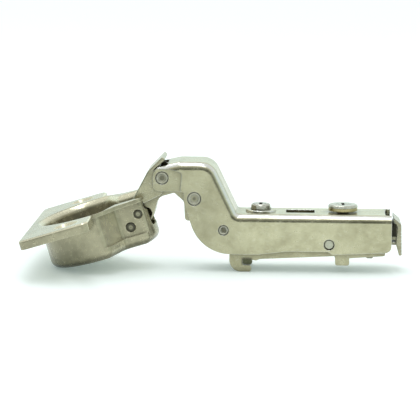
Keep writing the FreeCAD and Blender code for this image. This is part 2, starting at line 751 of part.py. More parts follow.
def make_cranked_arm():
    arm = new_body("cranked_arm")
    outline = [
        ("web_front", "hump_top - web_front_drop"),
        ("web_front + 3.5", "hump_top", "3"),
        ("crank_crest", "hump_top", "hump_radius"),
        ("crank_foot", "arm_top", "foot_radius"),
        ("arm_rear", "arm_top"),
        ("arm_rear", "arm_rear_low", "arm_rear_radius"),
        ("arm_low_step_x", "arm_low_step"),
        ("arm_low_step_x - 1.6", "arm_low_back"),
        ("arm_low_back_x", "arm_low_back"),
        ("arm_low_front_x", "arm_low_front"),
        ("belly_x", "arm_low_front", "belly_radius"),
        ("throat_x", "throat_z", "2"),
        ("throat_x", "ear_low", "0.6"),
        ("ear_left", "ear_low", "ear_low_radius"),
        ("ear_left", "ear_top", "ear_top_radius"),
        ("web_front", "ear_top"),
    ]
    solid = side_pad(arm, outline, "arm_half_width")

    def on_bend(edge, middle):
        """Edges where the web folds down into the sides."""
        if not near(abs(middle.y), size("arm_half_width")):
            return False
        if middle.x > size("crank_crest"):
            return middle.z > size("arm_top") - 0.01
        return middle.x > size("web_front") + 0.01 and middle.z > size("hump_top") - 1.5

    dress(arm, "Fillet", solid, edge_names(solid, on_bend), "arm_bend_radius")
    # Channel under the web, open in front and behind
    side_pocket(arm, [
        ("ear_left - cut_past", "hump_top - arm_sheet"),
        (f"crank_crest - {CRANK_OFFSET}", "hump_top - arm_sheet", "hump_radius - arm_sheet"),
        (f"crank_foot - {CRANK_OFFSET}", "arm_top - arm_sheet", "foot_radius + arm_sheet"),
        ("arm_rear + cut_past", "arm_top - arm_sheet"),
        ("arm_rear + cut_past", "arm_low_front - cut_past"),
        ("ear_left - cut_past", "arm_low_front - cut_past"),
    ], "arm_half_width - arm_sheet")
    side_pocket(arm, [
        ("ear_left - cut_past", "hump_top - arm_sheet - cut_past"),
        ("web_front", "hump_top - arm_sheet - cut_past"),
        ("web_front", "hump_top + cut_past"),
        ("ear_left - cut_past", "hump_top + cut_past"),
    ], "arm_half_width - arm_sheet")
    # Ears set in where the outer link swings beside them
    for turned in (False, True):
        sign = "" if turned else "0 - "
        sketch = new_sketch(arm, "XZ_Plane", f"{sign}arm_half_width")
        add_outline(sketch, [
            ("ear_left - cut_past", "ear_joggle_low - cut_past"),
            ("ear_joggle_x - 0.6", "ear_joggle_low - cut_past", "0.8"),
            ("ear_joggle_x", "ear_joggle_top - 1", "1.2"),
            ("ear_joggle_x - 4", "ear_joggle_top", "2"),
            ("ear_left - cut_past", "ear_joggle_top"),
        ])
        extrude(arm, "Pocket", sketch, "ear_joggle", False, reverse=not turned)
    side_hole(arm, [
        ("front_pivot_x", "front_pivot_z", "front_rivet_radius"),
        ("middle_pivot_x", "middle_pivot_z", "middle_rivet_radius"),
        ("spring_pivot_x", "spring_pivot_z", "spring_rivet_radius"),
        ("guide_pin_x", "guide_pin_z", "guide_pin_radius + running"),
    ], "arm_half_width + cut_past")
    # Web: rear notch for the lever's lip, ring boss, window and the cam's cross slot
    sketch = new_sketch(arm, "XY_Plane", "arm_top + cut_past")
    add_outline(sketch, [
        ("arm_rear - lever_notch", "0 - lever_notch_half", "1"),
        ("arm_rear + cut_past", "0 - lever_notch_half"),
        ("arm_rear + cut_past", "lever_notch_half"),
        ("arm_rear - lever_notch", "lever_notch_half", "1"),
    ])
    extrude(arm, "Pocket", sketch, "arm_sheet + 2 * cut_past", False)
    sketch = new_sketch(arm, "XY_Plane", "arm_top")
    add_circle(sketch, "boss_x", "0", "boss_radius")
    boss = extrude(arm, "Pad", sketch, "boss_height", False)
    rim = edge_names(
        boss,
        lambda edge, middle: near(middle.z, size("arm_top + boss_height")),
    )
    dress(arm, "Fillet", boss, rim, "boss_height * 0.6")
    sketch = new_sketch(arm, "XY_Plane", "arm_top + boss_height")
    add_circle(sketch, "boss_x", "0", "boss_hole_radius")
    reach = "(eccentric_radius + eccentric_play)"
    add_outline(sketch, [
        (f"cam_x - {reach}", f"cam_throw * cos(cam_half_turn) - {reach}", f"0.98 * {reach}"),
        (f"cam_x + {reach}", f"cam_throw * cos(cam_half_turn) - {reach}", f"0.98 * {reach}"),
        (f"cam_x + {reach}", f"cam_throw + {reach}", f"0.98 * {reach}"),
        (f"cam_x - {reach}", f"cam_throw + {reach}", f"0.98 * {reach}"),
    ])
    add_outline(sketch, [
        ("window_front", "0 - window_half", "0.5"),
        ("window_rear", "0 - window_half", "0.5"),
        ("window_rear", "window_half", "0.5"),
        ("window_front", "window_half", "0.5"),
    ])
    extrude(arm, "Pocket", sketch, "boss_height + arm_sheet + cut_past", False)
    return arm


# Clip carrier


def make_clip_carrier():
    carrier = new_body("clip_carrier")
    solid = side_pad(carrier, [
        ("carrier_front", "carrier_top"),
        ("carrier_rear", "carrier_top"),
        ("carrier_rear", "carrier_rear_low", "0.6"),
        ("tab_rear", "strip_low_rear - 0.6"),
        ("tab_rear", "tab_low", "tab_radius"),
        ("tab_front", "tab_low", "tab_radius"),
        ("tab_front", "strip_low_rear"),
        ("strip_front_x", "strip_low_front", "2"),
        ("strip_front_x - 1", "hook_mouth_top - 0.4", "0.6"),
        ("hook_mouth_left + 1.6", "hook_mouth_top"),
        ("hook_mouth_left", "hook_mouth_top", "0.6"),
        ("hook_mouth_left", "hook_lip_top", "0.6"),
        ("hook_lip_end", "hook_lip_top", "hook_lip_radius"),
        ("hook_lip_end", "floor_z", "hook_lip_radius"),
        ("hook_left", "floor_z", "hook_outer_radius"),
        ("hook_left", "hook_shoulder", "2"),
    ], "carrier_half_width")

    def on_bend(edge, middle):
        return near(abs(middle.y), size("carrier_half_width")) and near(middle.z, size("carrier_top"))

    dress(carrier, "Fillet", solid, edge_names(solid, on_bend), "carrier_bend_radius")
    side_pocket(carrier, [
        ("hook_left - cut_past", "carrier_top - carrier_sheet"),
        ("carrier_rear + cut_past", "carrier_top - carrier_sheet"),
        ("carrier_rear + cut_past", "floor_z - cut_past"),
        ("hook_left - cut_past", "floor_z - cut_past"),
    ], "carrier_half_width - carrier_sheet")
    # Long slots for the guide pin, and the holes of the lever's pin
    slot = "(guide_pin_radius + running)"
    end = f"({slot} + depth_travel + guide_slot_play)"
    side_pocket(carrier, [
        (f"guide_pin_x - {end}", f"guide_pin_z - {slot}", f"{slot} * 0.98"),
        (f"guide_pin_x + {end}", f"guide_pin_z - {slot}", f"{slot} * 0.98"),
        (f"guide_pin_x + {end}", f"guide_pin_z + {slot}", f"{slot} * 0.98"),
        (f"guide_pin_x - {end}", f"guide_pin_z + {slot}", f"{slot} * 0.98"),
    ], "carrier_half_width + cut_past")
    side_hole(carrier, [("lever_pin_x", "lever_pin_z", "lever_pin_radius")], "carrier_half_width + cut_past")
    # Web: lengthwise slot for the screw's neck, round bearing for the cam
    neck = "(stud_neck_radius + seat_gap)"
    sketch = new_sketch(carrier, "XY_Plane", "carrier_top + cut_past")
    add_outline(sketch, [
        (f"boss_x - depth_travel - {neck}", f"0 - {neck}", f"{neck} * 0.98"),
        (f"boss_x + depth_travel + {neck}", f"0 - {neck}", f"{neck} * 0.98"),
        (f"boss_x + depth_travel + {neck}", neck, f"{neck} * 0.98"),
        (f"boss_x - depth_travel - {neck}", neck, f"{neck} * 0.98"),
    ])
    add_circle(sketch, "cam_x", "0", "cam_journal_radius + running")
    extrude(carrier, "Pocket", sketch, "carrier_sheet + 2 * cut_past", False)
    return carrier


# Adjusting screws


def cross_recess(body, x, top):
    """A plain cross recess in a screw's top face."""
    for long_x, long_y in (("recess_arm", "recess_width / 2"), ("recess_width / 2", "recess_arm")):
        sketch = new_sketch(body, "XY_Plane", top)
        add_outline(sketch, [
            (f"{x} - {long_x}", f"0 - {long_y}"),
            (f"{x} + {long_x}", f"0 - {long_y}"),
            (f"{x} + {long_x}", long_y),
            (f"{x} - {long_x}", long_y),
        ])
        extrude(body, "Pocket", sketch, "recess_depth", False)


def upright_disc(body, x, y, radius, low, high):
    sketch = new_sketch(body, "XY_Plane", low)
    add_circle(sketch, x, y, radius)
    return extrude(body, "Pad", sketch, f"{high} - ({low})", False)


def make_depth_cam():
    cam = new_body("depth_cam")
    head_low = "arm_top + cam_head_gap + washer_thickness"
    head = upright_disc(cam, "cam_x", "0", "cam_head_radius", head_low, "cam_head_top")
    rim = edge_names(head, lambda edge, middle: near(middle.z, size("cam_head_top")))
    dress(cam, "Fillet", head, rim, "cam_head_crown")
    # Eccentric in the arm's slot, collar on the carrier's web, journal through it
    upright_disc(cam, "cam_x", "cam_throw", "eccentric_radius", "cam_collar_top", head_low)
    upright_disc(cam, "cam_x", "0", "cam_collar_radius", "carrier_top + running", "cam_collar_top")
    upright_disc(cam, "cam_x", "0", "cam_journal_radius", "cam_journal_low", "carrier_top + running")
    cross_recess(cam, "cam_x", "cam_head_top")
    return cam


def make_ring(label, x, outer, inner, low, high):
    body = new_body(label)
    disc = upright_disc(body, x, "0", outer, low, high)
    sketch = new_sketch(body, "XY_Plane", high)
    add_circle(sketch, x, "0", inner)
    extrude(body, "Pocket", sketch, f"{high} - ({low}) + cut_past", False)
    return body


def make_cam_washer():
    """Washer pressed on under the cam's head, with its hole round the eccentric."""
    washer = new_body("cam_washer")
    low = "arm_top + cam_head_gap"
    upright_disc(washer, "cam_x", "0", "washer_radius", low, f"{low} + washer_thickness")
    sketch = new_sketch(washer, "XY_Plane", f"{low} + washer_thickness")
    add_circle(sketch, "cam_x", "cam_throw", "eccentric_radius")
    extrude(washer, "Pocket", sketch, "washer_thickness + cut_past", False)
    return washer


def make_side_screw():
    screw = new_body("side_adjustment_screw")
    stud = upright_disc(screw, "boss_x", "0", "stud_radius", "carrier_top + seat_gap", "stud_top")
    dress(screw, "Chamfer", stud, edge_names(stud, lambda edge, middle: True), "stud_chamfer")
    neck_low = "carrier_top - carrier_sheet - seat_gap"
    upright_disc(screw, "boss_x", "0", "stud_neck_radius", neck_low, "carrier_top + seat_gap")
    upright_disc(screw, "boss_x", "0", "stud_end_radius", f"{neck_low} - ring_thickness", neck_low)
    cross_recess(screw, "boss_x", "stud_top")
    return screw


# Release lever


def make_release_lever():
    lever = new_body("release_lever")
    # Thumb plate behind the arm's end
    side_pad(lever, [
        ("lever_lip_x", "lever_lip_z"),
        ("lever_plate_outer - 0.3", "lever_shoulder_z + 0.2", "0.5"),
        ("lever_plate_outer", "lever_plate_low", "0.4"),
        ("lever_plate_outer - 0.9", "lever_plate_low", "0.3"),
        ("lever_plate_inner - 0.2", "lever_strap_low"),
        ("lever_plate_inner + 0.2", "lever_shoulder_z - 0.4", "0.8"),
        ("lever_lip_x", "lever_lip_z - 1.1"),
    ], "lever_plate_half")
    # Cheeks with the pivot eye and the latch nose, joined by two straps
    side_pad(lever, [
        ("lever_pin_x - lever_eye_radius + 0.3", "lever_pin_z"),
        ("lever_pin_x - 1.8", "lever_nose_low", "0.5"),
        ("lever_pin_x + 0.2", "lever_nose_low", "0.5"),
        ("lever_pin_x + 1.9", "lever_strap_low", "1.2"),
        ("lever_plate_inner + 0.1", "lever_strap_low"),
        ("lever_plate_inner + 0.1", "lever_strap_top"),
        ("lever_pin_x + 2.6", "lever_strap_top", "1.5"),
        ("lever_pin_x", "lever_pin_z + lever_eye_radius - 0.2"),
    ], "lever_half_width")
    side_disc(lever, "lever_pin_x", "lever_pin_z", "lever_eye_radius", "lever_half_width")
    side_pad(lever, [
        ("lever_wing_x", "lever_strap_top - 0.2"),
        ("lever_plate_inner + 0.2", "lever_strap_top - 0.2"),
        ("lever_plate_inner + 0.2", "lever_wing_top"),
        ("lever_wing_x + 0.6", "lever_wing_top", "0.4"),
        ("lever_wing_x", "lever_wing_top - 1.6", "0.4"),
    ], "lever_half_width")
    side_pocket(lever, [
        ("lever_pin_x - 6", "lever_pin_z + 6"),
        ("lever_plate_inner - 3.2", "lever_pin_z + 6"),
        ("lever_plate_inner - 3.2", "lever_nose_low - 2"),
        ("lever_pin_x - 6", "lever_nose_low - 2"),
    ], "lever_half_width - lever_sheet")
    side_pocket(lever, [
        ("lever_pin_x + 1", "lever_strap_low + 0.9"),
        ("lever_plate_inner - 0.4", "lever_strap_low + 0.9"),
        ("lever_plate_inner - 0.4", "lever_strap_top - 0.6"),
        ("lever_pin_x + 1", "lever_strap_top - 0.6"),
    ], "lever_half_width + cut_past")
    pin_bore = ("lever_pin_x", "lever_pin_z", "lever_pin_radius + running")
    side_hole(lever, [pin_bore], "lever_half_width + cut_past")
    # Serrations across the thumb plate
    count = int((size("lever_shoulder_z") - size("lever_plate_low") - 1.2) / size("serration_pitch"))
    sketch = new_sketch(lever, "XZ_Plane")
    for index in range(count):
        z = f"lever_plate_low + 0.9 + {index} * serration_pitch"
        face = f"lever_plate_outer - 0.3 * ({z} - lever_plate_low) / (lever_shoulder_z - lever_plate_low)"
        add_outline(sketch, [
            (f"{face} + 0.3", f"{z} - serration_depth"),
            (f"{face} + 0.3", f"{z} + serration_depth"),
            (f"{face} - serration_depth", z),
        ])
    extrude(lever, "Pocket", sketch, "2 * lever_plate_half + cut_past", True)
    return lever


# Wire springs: close-wound turns with straight legs


def rod(first, last, radius):
    """A straight piece of round wire with a ball at its far end."""
    run = last - first
    return [Part.makeCylinder(radius, run.Length, first, run), Part.makeSphere(radius, last)]


def turns_of_wire(centre, radius, wire, count, first_y, step):
    """Close-wound turns about a line along Y."""
    return [
        Part.makeTorus(radius, wire, Vector(centre.x, first_y + step * turn, centre.z), Vector(0, 1, 0))
        for turn in range(count)
    ]


def on_coil(centre, radius, angle, y):
    turned = math.radians(angle)
    return Vector(centre.x + radius * math.cos(turned), y, centre.z + radius * math.sin(turned))


def make_closing_spring():
    """Double torsion spring: two coils on the rivet, a bridge in the shoe and two back legs."""
    wire = size("spring_wire_radius")
    leg = 0.94 * wire
    radius = size("spring_coil_radius")
    count = int(size("spring_turns"))
    inner_y = size("spring_inner_y")
    step = 1.9 * wire
    centre = Vector(size("spring_pivot_x"), 0, size("spring_pivot_z"))
    coil = turns_of_wire(centre, radius, wire, count, inner_y, step)
    corner = Vector(size("spring_tip_x"), inner_y, size("spring_tip_z"))
    front = rod(on_coil(centre, radius, 90, inner_y), corner, leg)
    bridge = rod(corner, Vector(corner.x, 0, corner.z), leg)
    outer_y = inner_y + step * (count - 1)
    angle = size("spring_back_angle")
    heading = math.radians(angle - 90)
    leave = on_coil(centre, radius, angle, outer_y)
    along = Vector(math.cos(heading), 0, math.sin(heading))
    back = rod(leave, leave + along * size("spring_back_length"), leg)
    half = coil[0].fuse(coil[1:] + front + bridge + back)
    return half.fuse(half.mirror(Vector(0, 0, 0), Vector(0, 1, 0)))


def make_spring_shoe():
    """Shoe on the spring's bridge that follows the inner link's cam tail."""
    body = new_body("spring_shoe")
    reach = "(sqrt((tail_left - middle_pivot_x)^2 + (tail_low - middle_pivot_z)^2) - 0.4 * tail_radius)"
    top = f"(middle_pivot_z - {reach} - shoe_gap)"
    side_pad(body, [
        ("spring_tip_x - shoe_length / 3", top, "0.5"),
        ("spring_tip_x + 2 * shoe_length / 3", f"{top} - 0.2", "0.5"),
        ("spring_tip_x + 2 * shoe_length / 3", "spring_tip_z - 0.6", "0.3"),
        ("spring_tip_x - shoe_length / 3", "spring_tip_z - 1.2", "0.5"),
    ], "shoe_half_width")
    side_hole(body, [("spring_tip_x", "spring_tip_z", "spring_wire_radius")], "shoe_half_width + cut_past")
    return body


def add_feature(label, shape):
    part = doc.addObject("Part::Feature", label)
    part.Label = label
    part.Shape = shape
    place(part)
    return part


def make_lever_spring():
    """Return spring on the lever's pin, with one leg under the carrier's web and one on the strap."""
    wire = size("lever_wire_radius")
    leg = 0.94 * wire
    radius = size("lever_coil_radius")
    count = int(size("lever_coil_turns"))
    step = 1.9 * wire
    centre = Vector(size("lever_pin_x"), 0, size("lever_pin_z"))
    first_y = -step * (count - 1) / 2
    coil = turns_of_wire(centre, radius, wire, count, first_y, step)
    start = on_coil(centre, radius, 90, first_y)
    leave = on_coil(centre, radius, 65, -first_y)
    legs = rod(start, start + Vector(-size("lever_leg"), 0, 0.3), leg)
    legs += rod(leave, leave + Vector(0.8, 0, -0.35) * (0.9 * size("lever_leg")), leg)
    return coil[0].fuse(coil[1:] + legs)


def main():
    parts = [
        make_hinge_cup(),
        make_cross_pin("cup_pin_upper", "upper_pin_u", "upper_pin_n", "upper_pin_radius",
                       "cup_flat - pin_recess", "pin_recess / 3", in_cup=True),
        make_cross_pin("cup_pin_lower", "lower_pin_u", "lower_pin_n", "lower_pin_radius",
                       "cup_flat - pin_recess", "pin_recess / 3", in_cup=True),
        make_outer_link(),
        make_inner_link(),
        make_cranked_arm(),
        make_cross_pin("front_rivet", "front_pivot_x", "front_pivot_z", "front_rivet_radius",
                       "arm_half_width - ear_joggle", "rivet_edge", dimple="front_rivet_radius - 1"),
        make_cross_pin("middle_rivet", "middle_pivot_x", "middle_pivot_z", "middle_rivet_radius",
                       "arm_half_width", "rivet_edge", dimple="middle_rivet_radius - 1"),
        make_cross_pin("spring_rivet", "spring_pivot_x", "spring_pivot_z", "spring_rivet_radius",
                       "arm_half_width", "rivet_edge", dimple="spring_rivet_radius - 0.9"),
        make_cross_pin("rear_guide_pin", "guide_pin_x", "guide_pin_z", "guide_pin_radius",
                       "arm_half_width - guide_pin_recess", "rivet_edge"),
        add_feature("closing_spring", make_closing_spring()),
        make_spring_shoe(),
        make_clip_carrier(),
        make_depth_cam(),
        make_cam_washer(),
        make_side_screw(),
        make_ring("screw_retaining_ring", "boss_x", "ring_radius", "stud_end_radius",
                  "carrier_top - carrier_sheet - seat_gap - ring_thickness",
                  "carrier_top - carrier_sheet - seat_gap"),
        make_release_lever(),
        make_cross_pin("lever_pivot_pin", "lever_pin_x", "lever_pin_z", "lever_pin_radius",
                       "carrier_half_width", "rivet_edge / 2"),
        add_feature("lever_spring", make_lever_spring()),
    ]
    doc.recompute()
    faults = [entry.Label for entry in doc.Objects if {"Invalid", "Error"} & set(entry.State)]
    faults += [part.Label for part in parts if part.Shape.isNull() or not part.Shape.isValid()]
    if faults:
        raise RuntimeError("failed: " + ", ".join(faults))
    os.makedirs("parts", exist_ok=True)
    for part in parts:
        part.Shape.exportStep(f"parts/{part.Label}.step")
        box = part.Shape.BoundBox
        print(part.Label, len(part.Shape.Solids), round(part.Shape.Volume, 1),
              [round(value, 2) for value in (box.XMin, box.YMin, box.ZMin, box.XMax, box.YMax, box.ZMax)])


main()
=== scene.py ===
import math

import bpy
from mathutils import Matrix, Vector

# Looks of the cranked hinge: satin nickel-plated steel on a white table.
# Lengths are in metres: +X runs along the arm, +Y away from the camera, +Z up.

# Camera where the photo's camera stood: angles in degrees, focal length in pixels of its picture
YAW = 2.52
PITCH = 9.07
ROLL = 0.35
DISTANCE = 0.6308
FOCAL = 2040.0
PICTURE = 420.0
SENSOR = 36.0
TARGET = Vector((-0.0021, 0.0, 0.01799))

# Lean of the cup's flange in the rest pose
FLANGE_TILT = math.radians(17.0)

# Places painted darker, each from its low X and Z to its high X and Z in the rest pose
# Darker tone over the hump and the ears of the arm
HUMP = ((-0.04, 0.003), (0.004, 0.031))
EARS = ((-0.04, 0.018), (-0.0102, 0.031))
# Painted shade on the carrier's top inside the arm and in the hook's mouth
CARRIER_INSIDE = ((-0.02, 0.0125), (0.07, 0.04))
HOOK_MOUTH = ((0.0080, 0.0022), (0.0112, 0.0044))
# Darker tone low down and at the front of the cup
CUP_FOOT = ((-0.08, -0.01), (0.0, 0.004))
CUP_FRONT = ((-0.08, -0.01), (-0.036, 0.013))
# Painted shade in the gap between the arm's rear end and the lever
LEVER_GAP = ((0.05, 0.0112), (0.0553, 0.0153))

# Colour of the worn edges, and of the painted highlights on edges, folds and rims
PALE_WEAR_AND_HIGHLIGHT = (0.86, 0.87, 0.84)

# Limits of a round patch of painted shade that starts at the axis or runs on past the pin's rim, and its
# soft edge
FROM_AXIS = -1.0
PAST_RIM = 0.005
RIM_SOFT = 0.00015

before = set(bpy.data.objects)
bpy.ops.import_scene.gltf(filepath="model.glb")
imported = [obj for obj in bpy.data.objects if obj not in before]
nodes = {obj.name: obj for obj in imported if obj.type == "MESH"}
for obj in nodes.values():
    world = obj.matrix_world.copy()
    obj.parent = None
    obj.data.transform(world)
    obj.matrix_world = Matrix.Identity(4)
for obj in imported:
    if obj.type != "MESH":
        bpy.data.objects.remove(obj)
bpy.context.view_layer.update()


def is_socket(value):
    return isinstance(value, bpy.types.NodeSocket)


class Graph:
    """The node graph of a material or world, with short ways to add and join nodes."""

    def __init__(self, owner, output):
        owner.use_nodes = True
        self.owner = owner
        self.tree = owner.node_tree
        self.tree.nodes.clear()
        self.output = self.add(output)

    def add(self, kind, **inputs):
        node = self.tree.nodes.new(kind)
        for name, value in inputs.items():
            self.set(node, name, value)
        return node

    def set(self, node, name, value):
        socket = node.inputs[name]
        if is_socket(value):
            self.tree.links.new(value, socket)
        else:
            socket.default_value = value

    def parts(self, kind):
        """X, Y and Z of the coordinates of this kind."""
        coords = self.add("ShaderNodeTexCoord")
        return self.add("ShaderNodeSeparateXYZ", Vector=coords.outputs[kind]).outputs

    def noise(self, scale, detail, seed=0.0, stretch=(1.0, 1.0, 1.0)):
        """Noise value from 0 to 1 in the object's own coordinates; scale is in waves a metre."""
        coords = self.add("ShaderNodeTexCoord")
        mapping = self.add("ShaderNodeMapping", Vector=coords.outputs["Object"])
        self.set(mapping, "Location", (seed, seed * 0.7, seed * 1.3))
        self.set(mapping, "Scale", stretch)
        node = self.add("ShaderNodeTexNoise", Vector=mapping.outputs["Vector"], Scale=scale, Detail=detail)
        return node.outputs["Fac"]

    def span(self, value, low, high, new_low=0.0, new_high=1.0, smooth=False):
        """The value's range from low to high, mapped to a new range and held there."""
        node = self.add("ShaderNodeMapRange", Value=value)
        if smooth:
            node.interpolation_type = "SMOOTHSTEP"
        limits = {"From Min": low, "From Max": high, "To Min": new_low, "To Max": new_high}
        for name, limit in limits.items():
            self.set(node, name, limit)
        return node.outputs["Result"]

    def band(self, value, start, full, ease, stop):
        """Mask that rises from start to full and falls again from ease to stop."""
        return self.multiply(self.span(value, start, full), self.span(value, ease, stop, 1.0, 0.0))

    def math(self, operation, first, second=0.0):
        node = self.tree.nodes.new("ShaderNodeMath")
        node.operation = operation
        self.set(node, 0, first)
        self.set(node, 1, second)
        return node.outputs[0]

    def multiply(self, first, second):
        return self.math("MULTIPLY", first, second)

    def dot(self, first, second):
        node = self.tree.nodes.new("ShaderNodeVectorMath")
        node.operation = "DOT_PRODUCT"
        self.set(node, 0, first)
        self.set(node, 1, second)
        return node.outputs["Value"]

    def mix(self, factor, first, second):
        """Colour between the first and the second one."""
        node = self.tree.nodes.new("ShaderNodeMix")
        node.data_type = "RGBA"
        self.set(node, 0, factor)
        colours = [index for index, socket in enumerate(node.inputs) if socket.type == "RGBA"]
        for index, value in zip(colours, (first, second)):
            self.set(node, index, value if is_socket(value) else (*value, 1.0))
        return [socket for socket in node.outputs if socket.type == "RGBA"][0]

    def edges(self, radius):
        """Mask that is 1 along sharp edges, and the rounded normal that it is worked out from."""
        rounded = self.add("ShaderNodeBevel", Radius=radius).outputs["Normal"]
        true = self.add("ShaderNodeNewGeometry").outputs["Normal"]
        return self.span(self.dot(rounded, true), 0.995, 0.9), rounded

    def finish(self, shader):
        self.set(self.output, "Surface", shader)
        return self.owner


def material_graph(name):
    return Graph(bpy.data.materials.new(name), "ShaderNodeOutputMaterial")


def shade(colour, factor):
    return [factor * value for value in colour]


def plated_steel(name, dark, light, roughness, wear_and_highlight, grain=0.35, metallic=0.85, corner_shade=0.45,
                 darkened=(), painted_highlights=()):
    """Plated sheet with cloudy mottling, scratches, edges lighter partly from wear and partly as painted
    highlight, and painted shade in its corners.

    Each darkened place and each painted highlight is a mask builder with its strength: a darkened place is
    painted darker, mostly as painted shade, and a painted highlight takes the colour of the worn edges and
    highlights.
    """
    graph = material_graph(name)
    broad = graph.span(graph.noise(130.0, 4.0, seed=0.13), 0.35, 0.65)
    clouds = graph.span(graph.noise(520.0, 5.0), 0.34, 0.66)
    mottling = graph.math("ADD", graph.multiply(broad, 0.5), graph.multiply(clouds, 0.5))
    colour = graph.mix(mottling, dark, light)
    scratch = graph.span(graph.noise(900.0, 6.0, seed=0.77, stretch=(1.0, 6.0, 5.0)), 0.58, 0.76)
    colour = graph.mix(graph.multiply(scratch, 0.3), colour, wear_and_highlight)
    specks = graph.span(graph.noise(1500.0, 2.0, seed=0.53), 0.70, 0.78)
    colour = graph.mix(graph.multiply(specks, 0.4), colour, shade(dark, 0.45))
    # Lighter along sharp edges, concave ones too: partly wear, partly a painted highlight
    edge_wear_and_highlight, rounded = graph.edges(0.0003)
    colour = graph.mix(graph.multiply(edge_wear_and_highlight, 0.75), colour, wear_and_highlight)
    # Painted shade: darker where ambient occlusion finds nearby surfaces, in corners, creases and between
    # parts
    corner = graph.add("ShaderNodeAmbientOcclusion", Distance=0.0025)
    corner.samples = 6
    painted_corner_shade = graph.span(corner.outputs["AO"], 0.35, 0.95, corner_shade, 0.0)
    colour = graph.mix(painted_corner_shade, colour, shade(dark, 0.25))
    # Painted highlights take the colour of the worn edges and highlights
    for build, strength in painted_highlights:
        colour = graph.mix(graph.multiply(build(graph), strength), colour, wear_and_highlight)
    # Darkened places: painted shade in most of them, a plain darker tone in the rest
    for build, strength in darkened:
        colour = graph.mix(graph.multiply(build(graph), strength), colour, shade(dark, 0.12))
    fine = graph.noise(2600.0, 4.0, seed=0.31)
    rough = graph.math("ADD", graph.span(clouds, 0.0, 1.0, roughness - 0.05, roughness + 0.05),
                       graph.span(fine, 0.3, 0.7, -0.04, 0.04))
    bump = graph.add("ShaderNodeBump", Strength=grain, Distance=0.00003, Height=fine, Normal=rounded)
    shader = graph.add("ShaderNodeBsdfPrincipled", Roughness=rough, Metallic=metallic)
    graph.set(shader, "Base Color", colour)
    graph.set(shader, "Normal", bump.outputs["Normal"])
    return graph.finish(shader.outputs["BSDF"])


def moulded_plastic(name, colour, roughness):
    """Plain plastic with a fine grain."""
    graph = material_graph(name)
    fine = graph.noise(3000.0, 3.0)
    tone = graph.mix(fine, shade(colour, 0.8), shade(colour, 1.2))
    bump = graph.add("ShaderNodeBump", Strength=0.3, Distance=0.00004, Height=fine)
    rough = graph.span(fine, 0.3, 0.7, roughness - 0.06, roughness + 0.06)
    shader = graph.add("ShaderNodeBsdfPrincipled", Roughness=rough)
    graph.set(shader, "Base Color", tone)
    graph.set(shader, "Normal", bump.outputs["Normal"])
    return graph.finish(shader.outputs["BSDF"])


def middle_of(node):
    """Middle of a node's box in the rest pose."""
    corners = [nodes[node].matrix_world @ Vector(corner) for corner in nodes[node].bound_box]
    return sum(corners, Vector()) / len(corners)


def rim_mask(owner, pin, inner, outer):
    """Mask builder: between two radii round a pin that lies along Y, on the pin or its owner."""
    middle = nodes[owner].matrix_world.inverted() @ middle_of(pin)

    def build(graph):
        place = graph.parts("Object")
        across = graph.math("SUBTRACT", place["X"], middle.x)
        upward = graph.math("SUBTRACT", place["Z"], middle.z)
        squares = graph.math("ADD", graph.multiply(across, across), graph.multiply(upward, upward))
        radius = graph.math("SQRT", squares)
        return graph.band(radius, inner - RIM_SOFT, inner + RIM_SOFT, outer - RIM_SOFT, outer + RIM_SOFT)
    return build


def box_mask(box, soft):
    """Mask builder: inside a box of X and Z, with a soft border."""
    low, high = box

    def build(graph):
        place = graph.parts("Object")
        mask = 1.0
        for axis, start, stop in (("X", low[0], high[0]), ("Z", low[1], high[1])):
            inside = graph.band(place[axis], start - soft, start + soft, stop - soft, stop + soft)
            mask = graph.multiply(mask, inside)
        return mask
    return build


def fold_mask(start, full, ease, stop):
    """Mask builder: a band along the folds at the sheet's sides, by how far they face sideways."""
    def build(graph):
        return graph.band(graph.math("ABSOLUTE", graph.parts("Normal")["Y"]), start, full, ease, stop)
    return build


def roll_mask(start, full, ease, stop):
    """Mask builder: a rolled rim of the cup, by how far it faces out of the cup's mouth."""
    def build(graph):
        normal = graph.add("ShaderNodeTexCoord").outputs["Normal"]
        lean = graph.dot(normal, (-math.sin(FLANGE_TILT), 0.0, math.cos(FLANGE_TILT)))
        return graph.band(lean, start, full, ease, stop)
    return build


def shoulder_mask(graph):
    """Mask builder: the two shoulder walls of the cup, which face the arm and sideways."""
    normal = graph.parts("Normal")
    ahead = graph.band(normal["X"], 0.74, 0.80, 0.88, 0.94)
    aside = graph.band(graph.math("ABSOLUTE", normal["Y"]), 0.38, 0.43, 0.51, 0.56)
    return graph.multiply(ahead, aside)


def pin_with_painted_shade(name, node, centre, rim):
    """Pin or rivet with painted shade in its pressed centre and at its rim."""
    darkened = (
        (rim_mask(node, node, FROM_AXIS, centre), 0.55),
        (rim_mask(node, node, rim, PAST_RIM), 0.75),
    )
    return plated_steel(
        name, (0.25, 0.235, 0.155), (0.46, 0.435, 0.31), 0.33, PALE_WEAR_AND_HIGHLIGHT, grain=0.5, darkened=darkened,
    )


